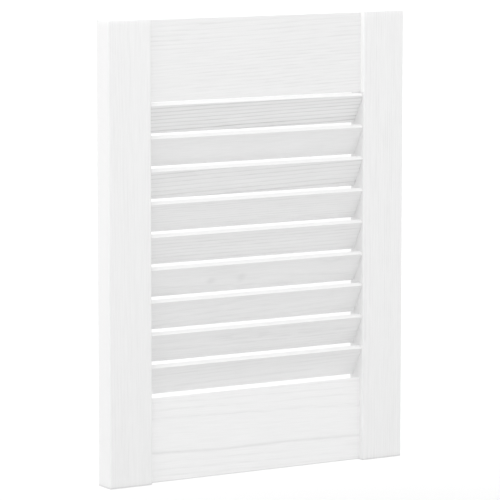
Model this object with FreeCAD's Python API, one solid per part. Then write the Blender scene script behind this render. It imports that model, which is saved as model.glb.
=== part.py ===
"""Louvred cabinet door leaf in painted pine: two stiles, two rails and fixed sloping louvres.

Millimetres. X runs across the leaf from the hinge edge, Y from front to back, Z up.
The origin is on the hinge edge, at mid height and mid thickness.
"""
import FreeCAD, Part
import math
import os

ACROSS = FreeCAD.Vector(1, 0, 0)
UPWARD = FreeCAD.Vector(0, 0, 1)
PARALLEL_SINE = 0.01

# Leaf
leaf_width = 294.0
leaf_height = 395.0

# Stiles, with their long edges eased and their sawn ends lightly sanded
stile_width = 41.0
stile_thickness = 21.0
stile_arris = 1.5
stile_end_arris = 0.5

# Rails, thinner than the stiles and centred in them
rail_thickness = 11.0
rail_arris = 1.0
rail_inset = 0.5
top_rail_height = 69.2
bottom_rail_height = 73.2

# Stub tenons on the rail ends
tenon_length = 18.0
tenon_face_shoulder = 2.5
tenon_edge_shoulder = 9.0

# Louvres, sloping down from front to back
louvre_thickness = 5.0
louvre_slope = 60.0
louvre_setback = 1.2
louvre_arris = 0.4
louvre_sight_gap = 0.7
louvre_top_gap = 0.4
louvre_bottom_gap = 1.4
housing_depth = 8.0

# Glue clearance round a tenon in its mortise and a louvre in its housing
joint_clearance = 0.1

# Room for the louvres between the stiles and between the rails
opening_width = leaf_width - 2 * stile_width
bottom_rail_foot = rail_inset - leaf_height / 2
opening_bottom = bottom_rail_foot + bottom_rail_height
opening_top = leaf_height / 2 - rail_inset - top_rail_height

# A louvre is as wide as its slope and the stile's thickness let it be
slope = math.radians(louvre_slope)
louvre_reach = stile_thickness - 2 * louvre_setback
louvre_width = (louvre_reach - louvre_thickness * math.sin(slope)) / math.cos(slope)
louvre_rise = louvre_width * math.sin(slope) + louvre_thickness * math.cos(slope)

# Louvres are set out evenly, with just a sight line between one and the next
lowest_louvre = opening_bottom + louvre_bottom_gap + louvre_rise / 2
highest_louvre = opening_top - louvre_top_gap - louvre_rise / 2
louvre_spaces = round((highest_louvre - lowest_louvre) / (louvre_rise + louvre_sight_gap))
louvre_pitch = (highest_louvre - lowest_louvre) / louvre_spaces


def bar(size_x, size_y, size_z, centre):
    """Squared bar of the given sizes about its centre."""
    half = FreeCAD.Vector(size_x / 2, size_y / 2, size_z / 2)
    return Part.makeBox(size_x, size_y, size_z, centre - half)


def rounded_along(solid, direction, radius):
    """The solid with its straight edges that run along the direction rounded over."""
    edges = [
        edge for edge in solid.Edges
        if edge.tangentAt(edge.FirstParameter).cross(direction).Length < PARALLEL_SINE
    ]
    return solid.makeFillet(radius, edges)


def rounded_ends(solid, radius):
    """The upright solid with the edges round its foot and its head rounded over."""
    ends = [face for face in solid.Faces if face.normalAt(0, 0).cross(UPWARD).Length < PARALLEL_SINE]
    return solid.makeFillet(radius, [edge for face in ends for edge in face.Edges])


def louvre_bar(length, clearance, centre):
    """Louvre section run over a length: the louvre itself, or its housing with the clearance all round."""
    flat = bar(length, louvre_width + 2 * clearance, louvre_thickness + 2 * clearance, FreeCAD.Vector())
    slat = rounded_along(flat, ACROSS, louvre_arris + clearance)
    slat.rotate(FreeCAD.Vector(), ACROSS, -louvre_slope)
    slat.translate(centre)
    return slat


def louvre(height):
    """One louvre, its ends let into both stiles."""
    length = opening_width + 2 * (housing_depth - joint_clearance)
    return louvre_bar(length, 0, FreeCAD.Vector(leaf_width / 2, 0, height))


def louvre_housing(height):
    """Slanted stopped housing for a louvre's end, in the inner edge of the left stile."""
    centre = FreeCAD.Vector(stile_width, 0, height)
    return louvre_bar(2 * housing_depth, joint_clearance, centre)


def tenon_bar(length, rail_height, clearance, centre):
    """Tenon section run over a length: the tenons themselves, or their mortise with the clearance all round."""
    thickness = rail_thickness - 2 * tenon_face_shoulder + 2 * clearance
    height = rail_height - 2 * tenon_edge_shoulder + 2 * clearance
    return bar(length, thickness, height, centre)


def rail(bottom, height):
    """Rail between the stiles, with a stub tenon at each end."""
    centre = FreeCAD.Vector(leaf_width / 2, 0, bottom + height / 2)
    board = rounded_along(bar(opening_width, rail_thickness, height, centre), ACROSS, rail_arris)
    return board.fuse(tenon_bar(opening_width + 2 * tenon_length, height, 0, centre)).removeSplitter()


def rail_mortise(bottom, height):
    """Blind mortise for a rail's tenon, in the inner edge of the left stile."""
    centre = FreeCAD.Vector(stile_width, 0, bottom + height / 2)
    return tenon_bar(2 * (tenon_length + joint_clearance), height, joint_clearance, centre)


def left_stile(sockets):
    """Stile on the hinge side, rounded over and then cut for the rails and louvres."""
    centre = FreeCAD.Vector(stile_width / 2, 0, 0)
    post = rounded_along(bar(stile_width, stile_thickness, leaf_height, centre), UPWARD, stile_arris)
    return rounded_ends(post, stile_end_arris).cut(sockets)


def mirrored(solid):
    """The same piece on the other side of the leaf's middle."""
    return solid.mirror(FreeCAD.Vector(leaf_width / 2, 0, 0), ACROSS)


rails = {
    "top_rail": (opening_top, top_rail_height),
    "bottom_rail": (bottom_rail_foot, bottom_rail_height),
}
louvre_heights = [highest_louvre - step * louvre_pitch for step in range(louvre_spaces + 1)]

mortises = [rail_mortise(*place) for place in rails.values()]
housings = [louvre_housing(height) for height in louvre_heights]

pieces = {"left_stile": left_stile(mortises + housings)}
pieces["right_stile"] = mirrored(pieces["left_stile"])
for name, place in rails.items():
    pieces[name] = rail(*place)
for number, height in enumerate(louvre_heights, start=1):
    pieces[f"louvre_{number}"] = louvre(height)

os.makedirs("parts", exist_ok=True)
for name, solid in pieces.items():
    solid.exportStep(f"parts/{name}.step")
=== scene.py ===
"""Small louvred cabinet door in white-painted pine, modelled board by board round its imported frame.

Metres. X runs across the leaf from the hinge edge, Y from front to back, Z up. Every board is made lying
flat, with its length on X, its width on Y and its front face up, and is then set in its place in the leaf.
"""

import math
from collections import namedtuple

import bmesh
import bpy
from mathutils import Matrix, Vector


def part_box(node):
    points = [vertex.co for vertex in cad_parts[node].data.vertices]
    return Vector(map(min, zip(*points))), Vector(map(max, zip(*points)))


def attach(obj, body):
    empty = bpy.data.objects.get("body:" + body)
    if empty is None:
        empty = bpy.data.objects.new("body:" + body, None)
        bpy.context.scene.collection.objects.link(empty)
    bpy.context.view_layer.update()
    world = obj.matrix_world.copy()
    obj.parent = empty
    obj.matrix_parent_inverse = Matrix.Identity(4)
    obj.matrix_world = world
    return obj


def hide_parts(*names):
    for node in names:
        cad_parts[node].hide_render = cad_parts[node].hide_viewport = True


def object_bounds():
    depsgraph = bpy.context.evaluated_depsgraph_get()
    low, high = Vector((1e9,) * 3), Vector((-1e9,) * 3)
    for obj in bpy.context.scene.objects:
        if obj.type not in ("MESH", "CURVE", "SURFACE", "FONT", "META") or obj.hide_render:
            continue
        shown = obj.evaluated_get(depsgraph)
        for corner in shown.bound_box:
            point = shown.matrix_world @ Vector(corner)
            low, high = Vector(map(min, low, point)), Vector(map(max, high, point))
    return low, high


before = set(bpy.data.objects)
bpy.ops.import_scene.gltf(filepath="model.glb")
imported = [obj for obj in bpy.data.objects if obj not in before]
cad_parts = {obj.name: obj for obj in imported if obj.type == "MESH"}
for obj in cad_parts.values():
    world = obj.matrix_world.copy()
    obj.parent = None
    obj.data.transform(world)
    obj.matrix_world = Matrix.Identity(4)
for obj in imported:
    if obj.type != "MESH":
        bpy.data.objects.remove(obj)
cad_low, cad_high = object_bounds()

MM = 0.001

# Sizes of the boards that their boxes in the frame don't give
STILE_ARRIS = 1.5 * MM
STILE_END_ARRIS = 0.5 * MM
RAIL_ARRIS = 0.4 * MM
RAIL_WEATHERING = 2.6 * MM
TENON_FACE_SHOULDER = 2.5 * MM
TENON_EDGE_SHOULDER = 9.0 * MM
LOUVRE_THICKNESS = 5.0 * MM
LOUVRE_SLOPE = math.radians(60)
LOUVRE_SETBACK = 1.2 * MM
LOUVRE_ARRIS = 0.4 * MM
LOUVRE_END_ARRIS = 0.2 * MM

# Hairline left round a louvre's end or a tenon, where paint has filled the rest of the joint
JOINT_HAIRLINE = 0.02 * MM

# Spacing of the mesh that carries the grain: long along the fibres, close across them
ALONG_GRAIN = 4.0 * MM
ACROSS_GRAIN = 0.42 * MM
ARRIS_STEPS = 4
END_ARRIS_STEPS = 2
SMOOTH_ANGLE = math.radians(35)

# Axes of a board that lies flat, how true an edge or a face along one of them has to be, and how far past a
# rail's shoulder its edges still count as the rail's own
LENGTH, WIDTH, THICKNESS = 0, 1, 2
TRUE_COSINE = 0.999
SHOULDER_SLACK = 0.1 * MM

left_low, left_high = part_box("left_stile")
right_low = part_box("right_stile")[0]
leaf_front = left_low.y
leaf_back = left_high.y
louvre_reach = leaf_back - leaf_front - 2 * LOUVRE_SETBACK
louvre_width = (louvre_reach - LOUVRE_THICKNESS * math.sin(LOUVRE_SLOPE)) / math.cos(LOUVRE_SLOPE)


def deselect_all():
    """Leaves nothing selected, so that the next operator acts on one board only."""
    if bpy.context.object and bpy.context.object.mode != "OBJECT":
        bpy.ops.object.mode_set(mode="OBJECT")
    bpy.ops.object.select_all(action="DESELECT")


def work_on(board):
    """Makes one board the only selected and active object."""
    deselect_all()
    board.select_set(True)
    bpy.context.view_layer.objects.active = board


def select_edges(board, wanted):
    """In edit mode, selects the edges for which wanted(direction, middle) holds."""
    mesh = bmesh.from_edit_mesh(board.data)
    bpy.ops.mesh.select_all(action="DESELECT")
    for edge in mesh.edges:
        start, end = (vert.co for vert in edge.verts)
        edge.select_set(wanted((end - start).normalized(), (start + end) / 2))
    bmesh.update_edit_mesh(board.data)


def runs_along(axis):
    """Test for an edge that runs along one of the board's own axes."""
    return lambda direction, middle: abs(direction[axis]) > TRUE_COSINE


def flat_bar(name, length, width, thickness, arris, end_arris, weathering=0):
    """Bar lying flat at the origin, its long edges rounded over and the edges of its ends eased.

    With weathering, its upper edge is planed to slope down by that much towards the back.
    """
    is_long = runs_along(LENGTH)
    deselect_all()
    bpy.ops.mesh.primitive_cube_add(size=1)
    bar = bpy.context.object
    bar.name = name
    bar.data.name = name
    bar.scale = (length, width, thickness)
    bpy.ops.object.transform_apply(location=False, rotation=False, scale=True)
    bpy.ops.object.mode_set(mode="EDIT")
    bpy.ops.mesh.select_mode(type="EDGE")
    if weathering:
        select_edges(bar, lambda direction, middle: is_long(direction, middle) and middle.y > 0 > middle.z)
        bpy.ops.transform.translate(value=(0, -weathering, 0))
    if arris:
        select_edges(bar, is_long)
        bpy.ops.mesh.bevel(offset=arris, segments=ARRIS_STEPS, affect="EDGES")
    if end_arris:
        select_edges(bar, lambda direction, middle: abs(abs(middle.x) - length / 2) < end_arris / 2)
        bpy.ops.mesh.bevel(offset=end_arris, segments=END_ARRIS_STEPS, affect="EDGES")
    bpy.ops.object.mode_set(mode="OBJECT")
    return bar


def divide(board, axis, spacing, reach):
    """Cuts the edges along one axis to about the spacing, out to a reach along the board's length.

    It does so in two passes, each with about the square root of the number of lengths.
    """
    is_along = runs_along(axis)
    size = 2 * reach if axis == LENGTH else board.dimensions[axis]
    cuts = max(1, round(math.sqrt(size / spacing)) - 1)
    work_on(board)
    bpy.ops.object.mode_set(mode="EDIT")
    bpy.ops.mesh.select_mode(type="EDGE")
    for _ in range(2):
        select_edges(board, lambda direction, middle: is_along(direction, middle) and abs(middle.x) < reach)
        bpy.ops.mesh.subdivide(number_cuts=cuts)
    bpy.ops.object.mode_set(mode="OBJECT")


def copy_for(node, blank):
    """Copy of a blank, with a mesh of its own, named for the node that it will stand for."""
    work_on(blank)
    bpy.ops.object.duplicate()
    board = bpy.context.object
    board.name = "painted_" + node
    board.data.name = board.name
    return board


def set_in_place(board, placement):
    """Moves the board's mesh to its place and leaves its object at the origin, unturned."""
    work_on(board)
    board.matrix_world = placement
    bpy.ops.object.transform_apply(location=True, rotation=True, scale=True)


def placed(along, across, centre):
    """Placement that lays a flat board's length and width along two directions, about a centre."""
    through = Vector(along).cross(Vector(across))
    turn = Matrix((along, across, through)).transposed().to_4x4()
    return Matrix.Translation(centre) @ turn


def add_node(tree, kind, settings=None, **links):
    """Adds a node, sets its properties, and links or sets its inputs by name or, as in_0, by number."""
    node = tree.nodes.new(kind)
    for name, value in (settings or {}).items():
        setattr(node, name, value)
    for name, value in links.items():
        by_number = name.startswith("in_")
        socket = node.inputs[int(name.removeprefix("in_")) if by_number else name.replace("_", " ")]
        if isinstance(value, bpy.types.NodeSocket):
            tree.links.new(value, socket)
        else:
            socket.default_value = value
    return node


# Growth rings of the log, shared by the relief of a board's mesh and by the paint that lies over it: how far
# they stray from round, over what lengths, half the width and the depth of a full latewood line, where in its
# ring the line lies, and how near a ring's number has to come to count as that ring
RING_WANDER = 1.6 * MM
RING_WANDER_ALONG = 160 * MM
RING_WANDER_ACROSS = 22 * MM
LATEWOOD_LINE = 0.8 * MM
LINE_DEPTH = 0.25 * MM
MID_RING = 0.5
SAME_RING = 0.5

# Patches and short flecks in which the lines fade, with the noise levels between which they come back
GRAIN_PATCH_ALONG = 90 * MM
GRAIN_PATCH_ACROSS = 12 * MM
PATCH_FADED, PATCH_FULL = 0.35, 0.6
FLECK_LENGTH = 16 * MM
FLECK_WIDTH = 1.6 * MM
FLECK_FADED, FLECK_FULL = 0.4, 0.6

# Share of its strength that a line keeps in its faintest year and patch, how much evener open grain is, how
# much calmer a planed edge is, and what the one dark ring adds
FAINTEST_YEAR = 0.55
FAINTEST_PATCH = 0.2
OPEN_GRAIN_EVENNESS = 0.5
EDGE_CALM = 0.85
DARK_RING = 0.7

# Detail of the noise in soft patches and in finer figure
SOFT_DETAIL = 1.0
FINE_DETAIL = 2.0

# Metres of log that each board has to itself, and the first numbers of the louvres, rails and stiles along it
LOG_STATION = 0.7
FIRST_LOUVRE = 1
FIRST_RAIL = 20
FIRST_STILE = 30

# How a board was sawn from its log: the pith across and through the board in mm, the lean of the grain, the
# ring width in mm, how strongly the lines show, and the number of one ring that is darker than the rest below
# the pith
Sawing = namedtuple("Sawing", "pith lean ring_width strength dark_ring", defaults=(-1,))


def stretched_noise(tree, log, along, across, detail):
    """Noise whose blotches measure along by across in the log, from 0 to 1."""
    scaled = add_node(tree, "ShaderNodeVectorMath", {"operation": "MULTIPLY"}, in_0=log,
                      in_1=(1 / along, 1 / across, 1 / across))
    noise = add_node(tree, "ShaderNodeTexNoise", None, Vector=scaled.outputs[0], Scale=1.0, Detail=detail)
    return noise.outputs[0]


def latewood_lines(tree, log, ring_width):
    """Latewood line at a place in the log, from 0 beside it to 1 in its middle, and the number of its ring.

    Rings are counted outwards from the pith, each with its line in the middle.
    """
    wander = stretched_noise(tree, log, RING_WANDER_ALONG, RING_WANDER_ACROSS, FINE_DETAIL)
    stray = add_node(tree, "ShaderNodeMapRange", None, in_0=wander, in_3=-RING_WANDER, in_4=RING_WANDER)
    spoke = add_node(tree, "ShaderNodeVectorMath", {"operation": "MULTIPLY"}, in_0=log, in_1=(0, 1, 1))
    radius = add_node(tree, "ShaderNodeVectorMath", {"operation": "LENGTH"}, in_0=spoke.outputs[0])
    strayed = add_node(tree, "ShaderNodeMath", {"operation": "ADD"},
                       in_0=radius.outputs["Value"], in_1=stray.outputs[0])
    count = add_node(tree, "ShaderNodeMath", {"operation": "DIVIDE"},
                     in_0=strayed.outputs[0], in_1=ring_width)
    within = add_node(tree, "ShaderNodeMath", {"operation": "FRACT"}, in_0=count.outputs[0])
    aside = add_node(tree, "ShaderNodeMath", {"operation": "SUBTRACT"},
                     in_0=within.outputs[0], in_1=MID_RING)
    share = add_node(tree, "ShaderNodeMath", {"operation": "ABSOLUTE"}, in_0=aside.outputs[0])
    distance = add_node(tree, "ShaderNodeMath", {"operation": "MULTIPLY"},
                        in_0=share.outputs[0], in_1=ring_width)
    line = add_node(tree, "ShaderNodeMapRange", {"interpolation_type": "SMOOTHSTEP"},
                    in_0=distance.outputs[0], in_1=0.0, in_2=LATEWOOD_LINE, in_3=1.0, in_4=0.0)
    year = add_node(tree, "ShaderNodeMath", {"operation": "FLOOR"}, in_0=count.outputs[0])
    return line.outputs[0], year.outputs[0]


def strength_of_year(tree, year, along):
    """Share of its strength that a year's line has, the same over a board's whole length."""
    centred = add_node(tree, "ShaderNodeMath", {"operation": "ADD"}, in_0=along, in_1=LOG_STATION / 2)
    station = add_node(tree, "ShaderNodeMath", {"operation": "SNAP"},
                       in_0=centred.outputs[0], in_1=LOG_STATION)
    season = add_node(tree, "ShaderNodeCombineXYZ", None, in_0=year, in_1=station.outputs[0])
    weather = add_node(tree, "ShaderNodeTexWhiteNoise", {"noise_dimensions": "2D"},
                       Vector=season.outputs[0])
    yearly = add_node(tree, "ShaderNodeMapRange", None,
                      in_0=weather.outputs["Value"], in_3=FAINTEST_YEAR, in_4=1.0)
    return yearly.outputs[0]


def strength_in_patches(tree, log, strength):
    """Share that lines keep as they fade in patches and break into flecks, higher where the grain is open."""
    evenness = add_node(tree, "ShaderNodeMath", {"operation": "MULTIPLY_ADD", "use_clamp": True},
                        in_0=strength, in_1=OPEN_GRAIN_EVENNESS, in_2=FAINTEST_PATCH)
    patch = stretched_noise(tree, log, GRAIN_PATCH_ALONG, GRAIN_PATCH_ACROSS, SOFT_DETAIL)
    open_here = add_node(tree, "ShaderNodeMapRange", {"interpolation_type": "SMOOTHSTEP"}, in_0=patch,
                         in_1=PATCH_FADED, in_2=PATCH_FULL, in_3=evenness.outputs[0], in_4=1.0)
    flecks = stretched_noise(tree, log, FLECK_LENGTH, FLECK_WIDTH, SOFT_DETAIL)
    flecked = add_node(tree, "ShaderNodeMapRange", {"interpolation_type": "SMOOTHSTEP"}, in_0=flecks,
                       in_1=FLECK_FADED, in_2=FLECK_FULL, in_3=evenness.outputs[0], in_4=1.0)
    patchy = add_node(tree, "ShaderNodeMath", {"operation": "MULTIPLY"},
                      in_0=flecked.outputs[0], in_1=open_here.outputs[0])
    return patchy.outputs[0]


def growth_rings(tree, log, ring):
    """How far a latewood line shows at a place in the log, from 0 between the lines to 1 in a full one."""
    ring_width, strength, dark_ring = add_node(tree, "ShaderNodeSeparateXYZ", None, in_0=ring).outputs
    along, across, _ = add_node(tree, "ShaderNodeSeparateXYZ", None, in_0=log).outputs
    line, year = latewood_lines(tree, log, ring_width)
    usual = add_node(tree, "ShaderNodeMath", {"operation": "MULTIPLY"},
                     in_0=strength_of_year(tree, year, along), in_1=strength_in_patches(tree, log, strength))

    # One ring of a board may be darker than the rest, below the pith
    is_dark = add_node(tree, "ShaderNodeMath", {"operation": "COMPARE"},
                       in_0=year, in_1=dark_ring, in_2=SAME_RING)
    is_low = add_node(tree, "ShaderNodeMath", {"operation": "LESS_THAN"}, in_0=across, in_1=0.0)
    low_dark = add_node(tree, "ShaderNodeMath", {"operation": "MULTIPLY"},
                        in_0=is_dark.outputs[0], in_1=is_low.outputs[0])
    darker = add_node(tree, "ShaderNodeMath", {"operation": "MULTIPLY_ADD"},
                      in_0=low_dark.outputs[0], in_1=DARK_RING, in_2=usual.outputs[0])
    shown = add_node(tree, "ShaderNodeMath", {"operation": "MULTIPLY", "use_clamp": True},
                     in_0=darker.outputs[0], in_1=strength)
    groove = add_node(tree, "ShaderNodeMath", {"operation": "MULTIPLY"}, in_0=line, in_1=shown.outputs[0])
    return groove.outputs[0]


def sawing_tree():
    """Geometry nodes that saw a board out of its log and sink its latewood lines into the surface."""
    tree = bpy.data.node_groups.new("sawn_from_the_log", "GeometryNodeTree")
    for name, kind in (("Board", "Geometry"), ("Pith", "Vector"), ("Lean", "Vector"), ("Ring", "Vector")):
        tree.interface.new_socket(name=name, in_out="INPUT", socket_type="NodeSocket" + kind)
    tree.interface.new_socket(name="Board", in_out="OUTPUT", socket_type="NodeSocketGeometry")
    given = tree.nodes.new("NodeGroupInput").outputs

    # Place in the log, measured from its pith
    place = add_node(tree, "GeometryNodeInputPosition").outputs[0]
    along, across, _ = add_node(tree, "ShaderNodeSeparateXYZ", None, in_0=place).outputs
    drift = add_node(tree, "ShaderNodeVectorMath", {"operation": "SCALE"}, in_0=given["Lean"], Scale=along)
    straight = add_node(tree, "ShaderNodeVectorMath", {"operation": "SUBTRACT"},
                        in_0=place, in_1=given["Pith"])
    log = add_node(tree, "ShaderNodeVectorMath", {"operation": "SUBTRACT"},
                   in_0=straight.outputs[0], in_1=drift.outputs[0]).outputs[0]

    # Planed edges show calmer lines than the faces
    outward = add_node(tree, "GeometryNodeInputNormal").outputs[0]
    facing = add_node(tree, "ShaderNodeVectorMath", {"operation": "ABSOLUTE"}, in_0=outward)
    edge = add_node(tree, "ShaderNodeSeparateXYZ", None, in_0=facing.outputs[0]).outputs[WIDTH]
    calm = add_node(tree, "ShaderNodeMath", {"operation": "MULTIPLY_ADD"},
                    in_0=edge, in_1=-EDGE_CALM, in_2=1.0)
    calmed = add_node(tree, "ShaderNodeCombineXYZ", None, in_0=1.0, in_1=calm.outputs[0], in_2=1.0)
    ring = add_node(tree, "ShaderNodeVectorMath", {"operation": "MULTIPLY"},
                    in_0=given["Ring"], in_1=calmed.outputs[0]).outputs[0]

    # The board keeps what the paint will read, and then its lines are sunk
    groove = growth_rings(tree, log, ring)
    depth = add_node(tree, "ShaderNodeMath", {"operation": "MULTIPLY"}, in_0=groove, in_1=-LINE_DEPTH)
    offset = add_node(tree, "ShaderNodeVectorMath", {"operation": "SCALE"},
                      in_0=outward, Scale=depth.outputs[0])
    board = given["Board"]
    for name, kind, value in (
        ("log", "FLOAT_VECTOR", log),
        ("ring", "FLOAT_VECTOR", ring),
        ("edge", "FLOAT", edge),
        ("across", "FLOAT", across),
    ):
        kept = add_node(tree, "GeometryNodeStoreNamedAttribute", {"data_type": kind, "domain": "POINT"},
                        Geometry=board, Name=name, Value=value)
        board = kept.outputs[0]
    sunken = add_node(tree, "GeometryNodeSetPosition", None, Geometry=board, Offset=offset.outputs[0])
    add_node(tree, "NodeGroupOutput", None, in_0=sunken.outputs[0])
    return tree


SAWING = sawing_tree()


def saw_from_log(board, number, sawing):
    """Gives the board the grain of its own place in a log, as relief and as attributes for the paint."""
    work_on(board)
    cut = board.modifiers.new("sawing", "NODES")
    cut.node_group = SAWING
    inputs = {item.name: item.identifier for item in SAWING.interface.items_tree if item.in_out == "INPUT"}
    cut[inputs["Pith"]] = (number * LOG_STATION, sawing.pith[0] * MM, sawing.pith[1] * MM)
    cut[inputs["Lean"]] = (0.0, *sawing.lean)
    cut[inputs["Ring"]] = (sawing.ring_width * MM, sawing.strength, sawing.dark_ring)
    bpy.ops.object.modifier_apply(modifier=cut.name)
    bpy.ops.object.shade_smooth_by_angle(angle=SMOOTH_ANGLE)


def srgb(code, coat=1.0):
    """Linear colour of an sRGB hex code, lightened or darkened by a coat."""
    levels = [int(code[place:place + 2], 16) / 255 for place in (1, 3, 5)]
    linear = [level / 12.92 if level <= 0.04045 else ((level + 0.055) / 1.055) ** 2.4 for level in levels]
    return (*(level * coat for level in linear), 1.0)


# Colours of the dried paint: on smooth wood, along a fibre that has drunk it, in the furrow of a latewood
# line, and the white of a painted highlight in a corner. A thinly laid satin coat on open grain is at the
# dull end of satin
PAINT_GROUND = "#F4F4F4"
PAINT_FIBRE = "#F0F0F0"
PAINT_LINE = "#CFCFCF"
PAINTED_CORNER_LIGHT = "#FDFDFD"
PAINT_ROUGHNESS = 0.6

# Fibres that stand up under the paint, with the noise levels between which they drink it. Real ones are too
# fine to show, so these are drawn as coarse bundles
FIBRE_LENGTH = 30 * MM
FIBRE_WIDTH = 0.8 * MM
FIBRE_DEPTH = 0.12 * MM
FIBRE_BUMP = 0.35
FIBRE_DRY, FIBRE_THIRSTY = 0.35, 0.65

# How far the paint goes towards the furrows' grey over a knot, and as painted shade along a foot and in a
# slot, and towards white as a painted highlight in a corner, and how deep a foot and a slot's side are taken
# to be
KNOT_GREY = 0.26
FOOT_PAINTED_SHADE = 0.45
FOOT_SHADE_HEIGHT = 1.4 * MM
SLOT_PAINTED_SHADE = 0.16
SLOT_SKIN = 0.5 * MM
CORNER_PAINTED_LIGHT = 0.6

# How light each board's paint is beside the ground colour on its faces, the painted shade on its edges, and
# the share of painted shade by which a louvre is lighter at its lower edge and darker at its upper
STILE_EDGE_SHADE = 0.965
TOP_RAIL_COAT = 0.978
BOTTOM_RAIL_COAT = 1.034
LOUVRE_COAT = 0.980
LOUVRE_EDGE_SHADE = 0.975
LOUVRE_SHADE_SLOPE = 0.05

# Knots in mm: place across and up the leaf, length and height
KNOTTY_LOUVRE = "louvre_6"
KNOTS = (
    (104, -28, 14, 10),
    (134, -27, 13, 13),
)


def pin_knots(tree, knots):
    """Grey of the small knots that show through the paint."""
    if not knots:
        return 0.0
    place = add_node(tree, "ShaderNodeTexCoord").outputs["Object"]
    shown = 0.0
    for across, up, length, height in knots:
        centre = (across * MM, 0, up * MM)
        reach = (1 / (length * MM / 2), 0, 1 / (height * MM / 2))
        offset = add_node(tree, "ShaderNodeVectorMath", {"operation": "SUBTRACT"}, in_0=place, in_1=centre)
        share = add_node(tree, "ShaderNodeVectorMath", {"operation": "MULTIPLY"},
                         in_0=offset.outputs[0], in_1=reach)
        away = add_node(tree, "ShaderNodeVectorMath", {"operation": "LENGTH"}, in_0=share.outputs[0])
        knot = add_node(tree, "ShaderNodeMapRange", {"interpolation_type": "SMOOTHSTEP"},
                        in_0=away.outputs["Value"], in_1=0.0, in_2=1.0, in_3=KNOT_GREY, in_4=0.0)
        shown = add_node(tree, "ShaderNodeMath", {"operation": "ADD"},
                         in_0=knot.outputs[0], in_1=shown).outputs[0]
    return shown


def in_boxes(tree, boxes):
    """Sum of the amounts of the boxes that a place lies in: each box by its two corners and its amount."""
    if not boxes:
        return 0.0
    place = add_node(tree, "ShaderNodeTexCoord").outputs["Object"]
    shown = 0.0
    for low, high, amount in boxes:
        offset = add_node(tree, "ShaderNodeVectorMath", {"operation": "SUBTRACT"},
                          in_0=place, in_1=(low + high) / 2)
        share = add_node(tree, "ShaderNodeVectorMath", {"operation": "DIVIDE"},
                         in_0=offset.outputs[0], in_1=(high - low) / 2)
        away = add_node(tree, "ShaderNodeVectorMath", {"operation": "ABSOLUTE"}, in_0=share.outputs[0])
        sides = add_node(tree, "ShaderNodeSeparateXYZ", None, in_0=away.outputs[0]).outputs
        flat = add_node(tree, "ShaderNodeMath", {"operation": "MAXIMUM"}, in_0=sides[0], in_1=sides[1])
        farthest = add_node(tree, "ShaderNodeMath", {"operation": "MAXIMUM"},
                            in_0=flat.outputs[0], in_1=sides[2])
        inside = add_node(tree, "ShaderNodeMath", {"operation": "LESS_THAN"},
                          in_0=farthest.outputs[0], in_1=1.0)
        shown = add_node(tree, "ShaderNodeMath", {"operation": "MULTIPLY_ADD"},
                         in_0=inside.outputs[0], in_1=amount, in_2=shown).outputs[0]
    return shown


def satin_paint_on_pine(name, coat=1.0, edge_shade=1.0, shade_slope=0.0, knots=(), painted_shade_boxes=(), painted_light_boxes=()):
    """White satin paint brushed thinly on planed pine.

    The eye gets an even white with a soft dull sheen, a little greyer in the furrows of the grain. Painted
    shade and painted light are also laid into its colour: on the edges, down a louvre's face and in the boxes
    given.
    """
    material = bpy.data.materials.new(name)
    material.use_nodes = True
    tree = material.node_tree
    tree.nodes.clear()
    log = add_node(tree, "ShaderNodeAttribute", {"attribute_name": "log"}).outputs["Vector"]
    ring = add_node(tree, "ShaderNodeAttribute", {"attribute_name": "ring"}).outputs["Vector"]
    edge = add_node(tree, "ShaderNodeAttribute", {"attribute_name": "edge"}).outputs["Fac"]
    across = add_node(tree, "ShaderNodeAttribute", {"attribute_name": "across"}).outputs["Fac"]

    # The coat itself, drunk up along the fibres, with painted shade down a louvre's face and on the edges,
    # and a painted highlight in the corners
    fibres = stretched_noise(tree, log, FIBRE_LENGTH, FIBRE_WIDTH, FINE_DETAIL)
    thirst = add_node(tree, "ShaderNodeMapRange", None, in_0=fibres, in_1=FIBRE_DRY, in_2=FIBRE_THIRSTY)
    ground = add_node(tree, "ShaderNodeMix", {"data_type": "RGBA"}, in_0=thirst.outputs[0],
                      in_6=srgb(PAINT_GROUND, coat), in_7=srgb(PAINT_FIBRE, coat))
    body = add_node(tree, "ShaderNodeMath", {"operation": "MULTIPLY_ADD"},
                    in_0=across, in_1=-2 * shade_slope / louvre_width, in_2=1.0)
    slope_shaded = add_node(tree, "ShaderNodeVectorMath", {"operation": "SCALE"},
                      in_0=ground.outputs[2], Scale=body.outputs[0])
    edged = add_node(tree, "ShaderNodeMix", {"data_type": "RGBA"}, in_0=edge,
                     in_6=slope_shaded.outputs[0], in_7=srgb(PAINT_GROUND, edge_shade))
    corner_lit = add_node(tree, "ShaderNodeMix", {"data_type": "RGBA"}, in_0=in_boxes(tree, painted_light_boxes),
                        in_6=edged.outputs[2], in_7=srgb(PAINTED_CORNER_LIGHT))

    # Grey in the furrows and over knots, and painted shade along the feet and down in the slots
    groove = growth_rings(tree, log, ring)
    knotty = add_node(tree, "ShaderNodeMath", {"operation": "ADD"}, in_0=groove, in_1=pin_knots(tree, knots))
    greyed = add_node(tree, "ShaderNodeMath", {"operation": "ADD"},
                      in_0=knotty.outputs[0], in_1=in_boxes(tree, painted_shade_boxes))
    tone = add_node(tree, "ShaderNodeMix", {"data_type": "RGBA"}, in_0=greyed.outputs[0],
                    in_6=corner_lit.outputs[2], in_7=srgb(PAINT_LINE))
    bump = add_node(tree, "ShaderNodeBump", None, Strength=FIBRE_BUMP, Distance=FIBRE_DEPTH, Height=fibres)
    shader = add_node(tree, "ShaderNodeBsdfPrincipled", None, Base_Color=tone.outputs[2],
                      Roughness=PAINT_ROUGHNESS, Normal=bump.outputs[0])
    add_node(tree, "ShaderNodeOutputMaterial", None, Surface=shader.outputs[0])
    return material


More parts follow.
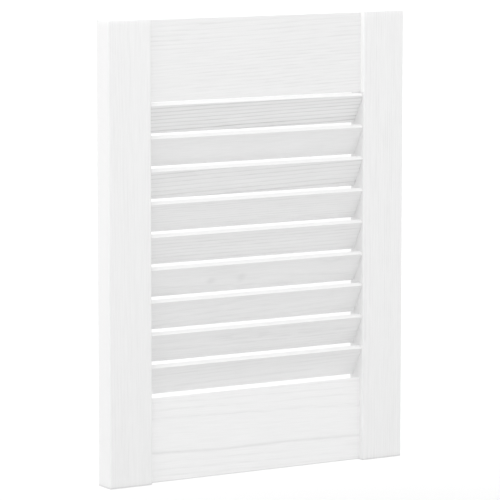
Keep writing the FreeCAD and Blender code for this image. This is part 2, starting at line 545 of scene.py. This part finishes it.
# Painted shade: a grey band along the feet of the boards, and the stiles' inner edges darkened down in the
# slots
foot_low = cad_low - Vector((MM, MM, MM))
foot_high = Vector((cad_high.x + MM, cad_high.y + MM, cad_low.z + FOOT_SHADE_HEIGHT))
shaded_foot = (foot_low, foot_high, FOOT_PAINTED_SHADE)
slots_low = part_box("louvre_9")[1].z
slots_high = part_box("top_rail")[0].z


def slot_side(edge):
    """Painted shade on the skin of a stile's inner edge, by its place across the leaf, between the two rails.
    """
    low = Vector((edge - SLOT_SKIN, leaf_front + SLOT_SKIN, slots_low))
    high = Vector((edge + SLOT_SKIN, leaf_back - SLOT_SKIN, slots_high))
    return (low, high, SLOT_PAINTED_SHADE)


def rail_corner(edge):
    """Painted highlight on the skin of a stile's inner edge in front of the top rail, lifting the corner's
    shade.
    """
    rail_low, rail_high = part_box("top_rail")
    low = Vector((edge - SLOT_SKIN, leaf_front + SLOT_SKIN, rail_low.z))
    high = Vector((edge + SLOT_SKIN, rail_low.y, rail_high.z))
    return (low, high, CORNER_PAINTED_LIGHT)


# Satin white paint brushed on planed pine, a coat for each kind of board: soft white with a dull sheen,
# through which the eye still sees the grain, and with painted shade and painted light laid into its colour
STILE_PAINT = satin_paint_on_pine(
    "satin_white_paint_on_pine_stile", edge_shade=STILE_EDGE_SHADE,
    # painted shade along the feet and down in the slots, and painted highlights in the corners by the top
    # rail
    painted_shade_boxes=(shaded_foot, slot_side(left_high.x), slot_side(right_low.x)),
    painted_light_boxes=(rail_corner(left_high.x), rail_corner(right_low.x)),
)
RAIL_PAINT = {
    "top_rail": satin_paint_on_pine(
        "satin_white_paint_on_pine_top_rail", TOP_RAIL_COAT, TOP_RAIL_COAT,
    ),
    "bottom_rail": satin_paint_on_pine(
        # painted shade along its foot
        "satin_white_paint_on_pine_bottom_rail", BOTTOM_RAIL_COAT, BOTTOM_RAIL_COAT, painted_shade_boxes=(shaded_foot,),
    ),
}
LOUVRE_PAINT = satin_paint_on_pine(
    "satin_white_paint_on_pine_louvre", LOUVRE_COAT, LOUVRE_EDGE_SHADE, LOUVRE_SHADE_SLOPE,
)
KNOTTY_PAINT = satin_paint_on_pine(
    "satin_white_paint_on_knotty_pine_louvre", LOUVRE_COAT, LOUVRE_EDGE_SHADE, LOUVRE_SHADE_SLOPE, KNOTS,
)


def dress(board, node, paint):
    """Paints a finished board and lets it stand for its node in the frame."""
    board.data.materials.clear()
    board.data.materials.append(paint)
    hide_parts(node)
    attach(board, "root")


# Sawing of each board, chosen for lines of the spacing, lean and strength that it shows
LOUVRE_SAWING = {
    "louvre_1": Sawing((-62, 14), (0.022, 0.002), 3.7, 1.10),
    "louvre_2": Sawing((3, 48), (0.010, 0.030), 2.6, 0.06),
    "louvre_3": Sawing((-70, 18), (0.028, 0.004), 4.4, 0.92),
    "louvre_4": Sawing((42, 9), (0.006, 0.010), 2.4, 0.32),
    "louvre_5": Sawing((-26, 20), (0.012, 0.006), 3.0, 0.46),
    "louvre_6": Sawing((8, -45), (0.012, 0.020), 2.6, 0.26),
    "louvre_7": Sawing((15, 42), (0.016, 0.020), 2.4, 0.19),
    "louvre_8": Sawing((8, -22), (0.006, 0.004), 1.5, 0.30),
    "louvre_9": Sawing((-14, 26), (0.030, 0.004), 2.4, 0.27),
}
RAIL_SAWING = {
    "top_rail": Sawing((64, -40), (0.036, 0.0), 2.6, 0.30),
    "bottom_rail": Sawing((1, -34.5), (-0.018, 0.0), 3.4, 0.28, 12),
}
STILE_SAWING = {
    "left_stile": Sawing((-10, -18), (0.004, 0.004), 1.6, 0.12),
    "right_stile": Sawing((22, -2), (0.002, 0.003), 2.0, 0.21),
}

# Directions in the leaf along which the boards' lengths and widths lie
UP_THE_LOUVRE = (0, -math.cos(LOUVRE_SLOPE), math.sin(LOUVRE_SLOPE))
ACROSS_LEAF = (1, 0, 0)
UP_LEAF = (0, 0, 1)
TOWARDS_HINGE = (-1, 0, 0)


def louvre_placement(node):
    """Slanting place of a louvre, its front face looking forwards and down."""
    low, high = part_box(node)
    return placed(ACROSS_LEAF, UP_THE_LOUVRE, (low + high) / 2)


def louvre_blank():
    """Louvre with rounded edges, still lying flat and without grain, of which each louvre is a copy."""
    low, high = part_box("louvre_1")
    length = high.x - low.x
    blank = flat_bar("louvre_blank", length, louvre_width, LOUVRE_THICKNESS, LOUVRE_ARRIS, LOUVRE_END_ARRIS)
    divide(blank, LENGTH, ALONG_GRAIN, length / 2)
    divide(blank, WIDTH, ACROSS_GRAIN, length / 2)
    return blank


def louvre(node, number, blank):
    """One louvre: a copy of the blank with its own grain, in its own place."""
    board = copy_for(node, blank)
    saw_from_log(board, number, LOUVRE_SAWING[node])
    set_in_place(board, louvre_placement(node))
    dress(board, node, KNOTTY_PAINT if node == KNOTTY_LOUVRE else LOUVRE_PAINT)


def rail_placement(node):
    """Upright place of a rail, its face to the front."""
    low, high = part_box(node)
    return placed(ACROSS_LEAF, UP_LEAF, (low + high) / 2)


def draw_out_tenons(board, shoulder, tenon_length, tenon_share):
    """Draws a stub tenon out of each end of a rail that lies flat.

    A tenon starts at its shoulder, given by the distance from the rail's middle. It has a length and, along
    each axis, a share of the rail's size.
    """
    work_on(board)
    bpy.ops.object.mode_set(mode="EDIT")
    bpy.ops.mesh.select_mode(type="FACE")
    for side in (-1, 1):
        bpy.ops.mesh.select_all(action="DESELECT")
        mesh = bmesh.from_edit_mesh(board.data)
        for face in mesh.faces:
            face.select_set(face.normal.x * side > TRUE_COSINE)
        bmesh.update_edit_mesh(board.data)
        bpy.ops.mesh.extrude_region_move()
        bpy.ops.transform.resize(value=tenon_share, center_override=(side * shoulder, 0, 0))
        bpy.ops.mesh.extrude_region_move(TRANSFORM_OT_translate={"value": (side * tenon_length, 0, 0)})
    bpy.ops.object.mode_set(mode="OBJECT")


def rail(node, number):
    """One rail between the stiles, with a stub tenon at each end."""
    low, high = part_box(node)
    length = right_low.x - left_high.x
    height, thickness = high.z - low.z, high.y - low.y
    weathering = RAIL_WEATHERING if node == "bottom_rail" else 0
    board = flat_bar("painted_" + node, length, height, thickness, RAIL_ARRIS, 0, weathering)
    tenon_share = (1, 1 - 2 * TENON_EDGE_SHOULDER / height, 1 - 2 * TENON_FACE_SHOULDER / thickness)
    draw_out_tenons(board, length / 2, left_high.x - low.x, tenon_share)
    divide(board, LENGTH, ALONG_GRAIN, length / 2)
    divide(board, WIDTH, ACROSS_GRAIN, length / 2 + SHOULDER_SLACK)
    saw_from_log(board, number, RAIL_SAWING[node])
    set_in_place(board, rail_placement(node))
    dress(board, node, RAIL_PAINT[node])


def louvre_cutter(node):
    """Cutter for a louvre's two housings: the louvre itself, fuller by the hairline all round."""
    low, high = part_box(node)
    fuller = 2 * JOINT_HAIRLINE
    return flat_bar("cutter", high.x - low.x + fuller, louvre_width + fuller, LOUVRE_THICKNESS + fuller,
                    LOUVRE_ARRIS + JOINT_HAIRLINE, 0)


def tenon_cutter(node):
    """Cutter for a rail's two mortises: its tenons, fuller by the hairline all round."""
    low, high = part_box(node)
    fuller = 2 * JOINT_HAIRLINE
    height = high.z - low.z - 2 * TENON_EDGE_SHOULDER
    thickness = high.y - low.y - 2 * TENON_FACE_SHOULDER
    return flat_bar("cutter", high.x - low.x + fuller, height + fuller, thickness + fuller, 0, 0)


def cut_sockets(board, placement):
    """Cuts the housings and mortises into a stile that still lies flat, given where it will stand."""
    cutters = []
    for node in LOUVRE_SAWING:
        cutters.append((louvre_cutter(node), louvre_placement(node)))
    for node in RAIL_SAWING:
        cutters.append((tenon_cutter(node), rail_placement(node)))
    for cutter, place in cutters:
        set_in_place(cutter, placement.inverted() @ place)
    deselect_all()
    for cutter, _ in cutters:
        cutter.select_set(True)
    joined = cutters[0][0]
    bpy.context.view_layer.objects.active = joined
    bpy.ops.object.join()
    work_on(board)
    sockets = board.modifiers.new("sockets", "BOOLEAN")
    sockets.operation = "DIFFERENCE"
    sockets.solver = "EXACT"
    sockets.object = joined
    bpy.ops.object.modifier_apply(modifier=sockets.name)
    bpy.data.objects.remove(joined)


def stile_blank():
    """Stile with its long edges rounded over, still lying flat and whole, of which both stiles are copies."""
    width, thickness, height = left_high - left_low
    blank = flat_bar("stile_blank", height, width, thickness, STILE_ARRIS, STILE_END_ARRIS)
    divide(blank, LENGTH, ALONG_GRAIN, height / 2)
    divide(blank, WIDTH, ACROSS_GRAIN, height / 2)
    divide(blank, THICKNESS, ACROSS_GRAIN, height / 2)
    return blank


def stile(node, number, blank):
    """One stile: a copy of the blank, housed for the louvres and mortised for the rails."""
    low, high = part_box(node)
    board = copy_for(node, blank)
    placement = placed(UP_LEAF, TOWARDS_HINGE, (low + high) / 2)
    cut_sockets(board, placement)
    saw_from_log(board, number, STILE_SAWING[node])
    set_in_place(board, placement)
    dress(board, node, STILE_PAINT)


plain_louvre = louvre_blank()
for number, node in enumerate(LOUVRE_SAWING, start=FIRST_LOUVRE):
    louvre(node, number, plain_louvre)
for number, node in enumerate(RAIL_SAWING, start=FIRST_RAIL):
    rail(node, number)
plain_stile = stile_blank()
for number, node in enumerate(STILE_SAWING, start=FIRST_STILE):
    stile(node, number, plain_stile)
for blank in (plain_louvre, plain_stile):
    bpy.data.meshes.remove(blank.data)

leaf_middle = (cad_low + cad_high) / 2

# Floor: a rolled-out sheet of satin white paper, which gives the eye a soft ground with a painted shadow,
# pale grey below the leaf and white further out. The leaf hangs clear of it, as on its hinges
FLOOR_SPAN = 40.0
FLOOR_DROP = 120.0 * MM
FLOOR_NEAR = 150 * MM
FLOOR_FAR = 900 * MM
FLOOR_SHADOW_COLOUR = "#DADADA"
FLOOR_FAR_COLOUR = "#EEEEEE"
FLOOR_ROUGHNESS = 0.3
below_leaf = (leaf_middle.x, leaf_middle.y, cad_low.z - FLOOR_DROP)
deselect_all()
bpy.ops.mesh.primitive_plane_add(size=FLOOR_SPAN, location=below_leaf)
floor = bpy.context.object
floor.name = "studio_floor"
floor_sheet = bpy.data.materials.new("satin_white_studio_sheet")
floor_sheet.use_nodes = True
floor_tree = floor_sheet.node_tree
floor_place = add_node(floor_tree, "ShaderNodeTexCoord").outputs["Object"]
floor_away = add_node(floor_tree, "ShaderNodeVectorMath", {"operation": "LENGTH"}, in_0=floor_place)
floor_shadow_fade = add_node(floor_tree, "ShaderNodeMapRange", {"interpolation_type": "SMOOTHSTEP"},
                      in_0=floor_away.outputs["Value"], in_1=FLOOR_NEAR, in_2=FLOOR_FAR)
floor_tone = add_node(floor_tree, "ShaderNodeMix", {"data_type": "RGBA"}, in_0=floor_shadow_fade.outputs[0],
                      in_6=srgb(FLOOR_SHADOW_COLOUR), in_7=srgb(FLOOR_FAR_COLOUR))
floor_shader = floor_tree.nodes["Principled BSDF"]
floor_tree.links.new(floor_tone.outputs[2], floor_shader.inputs["Base Color"])
floor_shader.inputs["Roughness"].default_value = FLOOR_ROUGHNESS
floor.data.materials.append(floor_sheet)

# Soft studio light: a white tent all round and, brighter, the large lights outside its walls
TENT_COLOUR = "#FFFFFF"
TENT_BRIGHTNESS = 0.84
# Direction to each light, how tightly it gathers, and its brightness
SOFT_LIGHTS = (
    ((0.10, 0.98, 0.17), 8, 0.90),
    ((-0.35, -0.35, 0.87), 8, 0.40),
    ((0.58, -0.58, 0.57), 8, 0.30),
    ((-0.50, 0.00, 0.87), 8, 1.20),
    ((-0.82, 0.00, 0.57), 8, 0.10),
)
world = bpy.data.worlds.new("soft_studio_light")
world.use_nodes = True
tent = world.node_tree
towards = add_node(tent, "ShaderNodeTexCoord").outputs["Generated"]
brightness = TENT_BRIGHTNESS
for direction, gathering, strength in SOFT_LIGHTS:
    facing = add_node(tent, "ShaderNodeVectorMath", {"operation": "DOT_PRODUCT"}, in_0=towards,
                      in_1=Vector(direction).normalized())
    seen = add_node(tent, "ShaderNodeMath", {"operation": "MAXIMUM"}, in_0=facing.outputs["Value"], in_1=0.0)
    gathered = add_node(tent, "ShaderNodeMath", {"operation": "POWER"}, in_0=seen.outputs[0], in_1=gathering)
    brightness = add_node(tent, "ShaderNodeMath", {"operation": "MULTIPLY_ADD"}, in_0=gathered.outputs[0],
                          in_1=strength, in_2=brightness).outputs[0]
background = tent.nodes["Background"]
background.inputs["Color"].default_value = srgb(TENT_COLOUR)
tent.links.new(brightness, background.inputs["Strength"])
bpy.context.scene.world = world

# Small softbox close over the top edge, from which the leaf darkens a little towards its foot
SOFTBOX_SIZE = 0.3
SOFTBOX_WATTS = 0.18
TO_TOP_SOFTBOX = Vector((-0.20, -0.15, 0.55))
top_light = bpy.data.lights.new("top_softbox", "AREA")
top_light.size = SOFTBOX_SIZE
top_light.energy = SOFTBOX_WATTS
top_softbox = bpy.data.objects.new("top_softbox", top_light)
bpy.context.scene.collection.objects.link(top_softbox)
top_softbox.location = leaf_middle + TO_TOP_SOFTBOX
top_softbox.rotation_euler = TO_TOP_SOFTBOX.to_track_quat("Z", "Y").to_euler()

# Camera at the photograph's viewing angle
CAMERA_AZIMUTH = math.radians(31.16)
CAMERA_ELEVATION = math.radians(7.365)
CAMERA_DISTANCE = 2.8776
CAMERA_LENS = 240.9
CAMERA_SENSOR = 36.0
CAMERA_AIM = leaf_middle + Vector((-3.2 * MM, 0, -4.4 * MM))
towards_camera = Vector((
    -math.sin(CAMERA_AZIMUTH) * math.cos(CAMERA_ELEVATION),
    -math.cos(CAMERA_AZIMUTH) * math.cos(CAMERA_ELEVATION),
    math.sin(CAMERA_ELEVATION),
))
camera_data = bpy.data.cameras.new("studio_camera")
camera_data.lens = CAMERA_LENS
camera_data.sensor_width = CAMERA_SENSOR
camera = bpy.data.objects.new("studio_camera", camera_data)
bpy.context.scene.collection.objects.link(camera)
camera.location = CAMERA_AIM + towards_camera * CAMERA_DISTANCE
camera.rotation_euler = (math.pi / 2 - CAMERA_ELEVATION, 0, -CAMERA_AZIMUTH)
bpy.context.scene.camera = camera
bpy.context.scene.view_settings.view_transform = "Standard"
